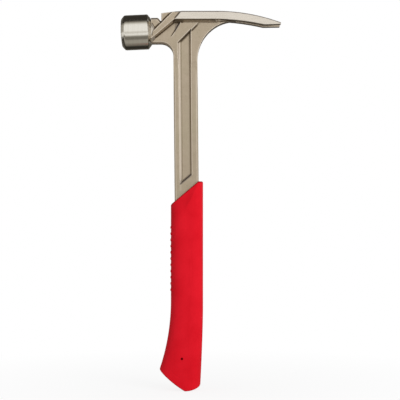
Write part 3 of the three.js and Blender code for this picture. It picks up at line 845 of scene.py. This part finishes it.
def hard_core():
    m = material_nodes("hard_core")
    grain = m.noise(1100, 3, 0.6)
    colour = m.mix(m.scaled(grain, 0.35, 0.65), srgb(30, 30, 32), srgb(42, 42, 44))
    rough = m.scaled(grain, 0.3, 0.7, 0.5, 0.66)
    m.surface(Base_Color=colour, Roughness=rough, Normal=m.bump(grain, 0.00006, 0.5))
    return m.owner


# Stage: floor, panels that only show in reflections, lamps, world and camera

def seen_directly(m):
    """1 for camera rays, reflections and transmission, 0 for the light that falls on things."""
    path = m.node("ShaderNodeLightPath")
    seen = m.math("MAXIMUM", path.outputs["Is Camera Ray"], path.outputs["Is Glossy Ray"])
    return m.math("MAXIMUM", seen, path.outputs["Is Transmission Ray"])


def floor_material():
    m = material_nodes("pale_floor")
    length = m.node("ShaderNodeVectorMath", operation="LENGTH")
    m.join(m.coords, length.inputs[0])
    white = m.scaled(length.outputs["Value"], 0.02, 0.4, 0.86, 1.0)
    amount = m.math("MULTIPLY", seen_directly(m), white)
    matt = m.node("ShaderNodeBsdfDiffuse")
    matt.inputs["Color"].default_value = (0.82, 0.82, 0.82, 1)
    glow = m.node("ShaderNodeEmission")
    mix = m.node("ShaderNodeMixShader")
    m.join(amount, mix.inputs[0])
    m.join(matt.outputs[0], mix.inputs[1])
    m.join(glow.outputs[0], mix.inputs[2])
    m.join(mix.outputs[0], m.out.inputs["Surface"])
    return m.owner


def sheet(name, points, faces, material):
    mesh = mesh_from(name, points, faces)
    mesh.materials.append(material)
    ob = bpy.data.objects.new(name, mesh)
    bpy.context.scene.collection.objects.link(ob)
    return ob


def tent_material():
    m = material_nodes("tent")
    glow = m.node("ShaderNodeEmission")
    level = m.attribute("level")
    m.join(m.mix(level, (1, 0.92, 0.78, 1), (1, 1, 1, 1)), glow.inputs["Color"])
    m.join(level, glow.inputs["Strength"])
    m.join(glow.outputs[0], m.out.inputs["Surface"])
    m.owner.cycles.emission_sampling = "NONE"
    return m.owner


def grid_faces(rows, columns):
    return [
        (r * columns + c, r * columns + c + 1, (r + 1) * columns + c + 1, (r + 1) * columns + c)
        for r in range(rows - 1) for c in range(columns - 1)
    ]


def tent_sheet(name, points, levels, rows, columns):
    """Part of the tent: only reflections in the metal show it."""
    ob = sheet(name, points, grid_faces(rows, columns), tent_material())
    store(ob.data, "level", levels)
    ob.visible_camera = False
    ob.visible_diffuse = False
    ob.visible_shadow = False
    ob.visible_transmission = False


# Brightness of the tent by the angle from straight ahead, in degrees above the poll's axis
TENT = [
    (-180, 0.15), (-150, 0.1), (-140, 0.03), (-110, 0.03), (-104, 0.12), (-96, 0.2), (-84, 0.28),
    (-75, 0.38), (-57, 0.36), (-50, 0.19), (-34, 0.2), (-28, 0.5), (-22, 1), (-14, 1), (-11, 0.74),
    (-2, 0.74), (2, 1), (40, 1), (48, 0.95), (56, 0.65), (64, 0.35), (72, 0.1), (80, 0.04), (130, 0.04),
    (150, 0.12), (180, 0.15),
]


def left_level(y, z):
    """The left end is bright low down and in front, and half as bright beside the head."""
    return 0.85 - 0.45 * smoothstep(0.40, 0.46, z) * smoothstep(-0.55, -0.35, y)


def right_level(y):
    return 1 - 0.6 * smoothstep(0.1, 0.3, y)


def tent():
    radius = 1.3
    middle = 0.385
    length = 2.0
    low = 0.006
    angles = np.arange(-180, 180.1, 2)
    across = np.linspace(-length, length, 41)
    points = []
    levels = []
    for angle in angles:
        y = -radius * math.cos(math.radians(angle))
        z = radius * math.sin(math.radians(angle))
        short = min(1, (middle - low) / max(-z, 1e-6)) if z < 0 else 1
        level = np.interp(angle, *np.array(TENT).T)
        back = smoothstep(125, 145, abs(angle))
        for x in across:
            points.append((x, y * short, middle + z * short))
            levels.append(level + (1 - level) * back * smoothstep(0.9, 1.1, x))
    tent_sheet("tent", points, levels, len(angles), len(across))
    for name, x in (("tent_left", -length), ("tent_right", length)):
        depths = np.linspace(-radius, radius, 27)
        heights = np.linspace(low, middle + radius, 35)
        points = [(x, y, z) for y in depths for z in heights]
        if x < 0:
            levels = [left_level(y, z) for _, y, z in points]
        else:
            levels = [right_level(y) for _, y, _ in points]
        tent_sheet(name, points, levels, len(depths), len(heights))


def stage():
    size = 6
    corners = [(-size, -size, 0), (size, -size, 0), (size, size, 0), (-size, size, 0)]
    sheet("floor", corners, [(0, 1, 2, 3)], floor_material())
    tent()


def lamp(name, place, aim, size, power):
    data = bpy.data.lights.new(name, "AREA")
    data.shape = "DISK"
    data.size = size
    data.energy = power
    ob = bpy.data.objects.new(name, data)
    bpy.context.scene.collection.objects.link(ob)
    ob.location = place
    ob.rotation_euler = (Vector(aim) - Vector(place)).to_track_quat("-Z", "Y").to_euler()
    ob.visible_glossy = False


def lights():
    lamp("key", place=(0.9, -1.2, 0.7), aim=(0, 0, 0.2), size=0.9, power=15.5)
    world = bpy.data.worlds.new("studio")
    bpy.context.scene.world = world
    m = Nodes(world, "ShaderNodeOutputWorld")
    background = m.node("ShaderNodeBackground")
    background.inputs["Color"].default_value = (1, 1, 1, 1)
    m.join(m.scaled(seen_directly(m), 0, 1, 0.5, 1), background.inputs["Strength"])
    m.join(background.outputs[0], m.out.inputs["Surface"])


def camera():
    data = bpy.data.cameras.new("camera")
    data.sensor_width = CAMERA_SENSOR
    data.lens = CAMERA_LENS
    ob = bpy.data.objects.new("camera", data)
    bpy.context.scene.collection.objects.link(ob)
    ob.location = in_frame(CAMERA_PLACE)
    ob.rotation_euler = (math.pi / 2, 0, 0)
    bpy.context.scene.camera = ob


# Hammer

def dress(ob, material):
    ob.data.materials.clear()
    ob.data.materials.append(material)


dress(new_piece("forging", forging_mesh(), "steel", "steel_forging"), forged_steel())
dress(new_piece("turned_poll", poll_mesh(), "steel", "steel_forging"), turned_steel())
dress(new_piece("grip", grip_mesh(), "grip", "grip_sleeve"), red_grip())
dress(new_piece("magnet", magnet_mesh(), "magnet", "nail_magnet"), plated())
dress(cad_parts["grip_core"], hard_core())

stage()
lights()
camera()
bpy.context.scene.view_settings.view_transform = "Standard"
